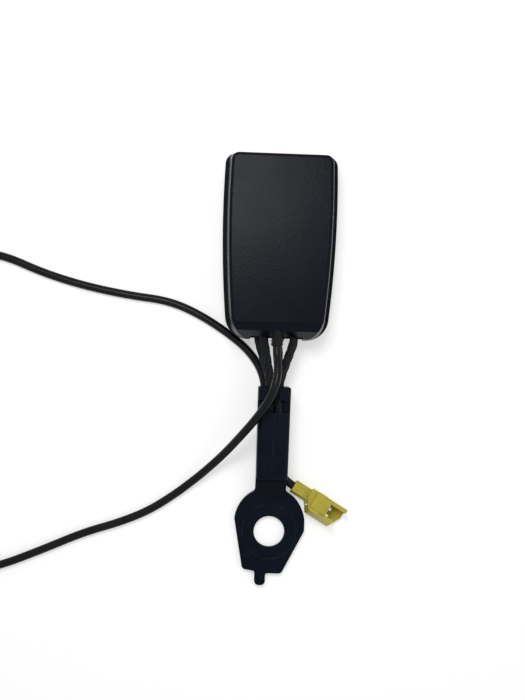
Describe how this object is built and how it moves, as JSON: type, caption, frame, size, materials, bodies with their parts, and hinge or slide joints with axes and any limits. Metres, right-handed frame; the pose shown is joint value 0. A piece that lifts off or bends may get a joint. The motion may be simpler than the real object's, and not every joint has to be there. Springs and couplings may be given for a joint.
{
  "type": "seat belt buckle",
  "caption": "Seat belt buckle on a steel rope stalk with a bolted anchor bracket, press button, latch, ejector and a switch lead that ends in a small connector.",
  "frame": {"origin": "centre of the anchor bracket's bolt hole, on the underside of the plate", "axes": "+Y up the stalk to the tongue slot, +Z out of the plate to the back of the buckle, +X to the right"},
  "size_m": [0.2015, 0.1742, 0.0245],
  "materials": {
    "black_steel": "satin black coating",
    "zinc_steel": "zinc plated",
    "rope_steel": "black coated strands",
    "spring_steel": "bright wire",
    "black_plastic": "fine grained",
    "inner_plastic": "smooth",
    "red_plastic": "satin",
    "lead_sheath": "smooth sheath",
    "yellow_plastic": "satin",
    "tinned_contact": "tinned"
  },
  "bodies": {
    "anchor": {"anchor_bracket": "black_steel", "rope_front": "rope_steel", "rope_back": "rope_steel", "lead_at_buckle": "lead_sheath", "lead": "lead_sheath", "connector_housing": "yellow_plastic", "connector_lock": "yellow_plastic", "connector_terminals": "tinned_contact"},
    "buckle": {"back_cover": "black_plastic", "front_cover": "black_plastic", "frame": "zinc_steel", "rope_spool": "zinc_steel", "keeper_plate": "zinc_steel", "anchor_rivet": "zinc_steel", "latch_pin": "zinc_steel", "button_spring": "spring_steel", "latch_spring": "spring_steel", "ejector_spring": "spring_steel", "switch_housing": "inner_plastic", "switch_contacts": "tinned_contact", "lead_grommet": "lead_sheath"},
    "button": {"press_button": "red_plastic"},
    "latch": {"latch": "zinc_steel"},
    "ejector": {"ejector": "inner_plastic", "switch_slider": "inner_plastic"}
  },
  "joints": [
    {"name": "stalk_flex", "type": "hinge", "parent": "anchor", "child": "buckle", "pos_m": [0, 0.068, 0.0115], "axis": [0, 0, 1], "range_deg": [-10, 10], "stiffness_Nm_per_rad": 4, "deforming": ["rope_front", "rope_back", "lead_at_buckle"]},
    {"name": "button_press", "type": "slide", "parent": "buckle", "child": "button", "axis": [0, -1, 0], "range_m": [0, 0.006], "stiffness_N_per_m": 700, "springref_m": -0.004, "deforming": ["button_spring"]},
    {"name": "latch_swing", "type": "hinge", "parent": "buckle", "child": "latch", "pos_m": [0, 0.106, 0.0105], "axis": [-1, 0, 0], "range_deg": [0, 18.2], "deforming": ["latch_spring"]},
    {"name": "ejector_slide", "type": "slide", "parent": "buckle", "child": "ejector", "axis": [0, -1, 0], "range_m": [0, 0.0095], "stiffness_N_per_m": 400, "springref_m": -0.004, "deforming": ["ejector_spring"]}
  ],
  "couplings": [
    {"joint": "latch_swing", "follows": "button_press", "rad_per_m": 52.36}
  ]
}
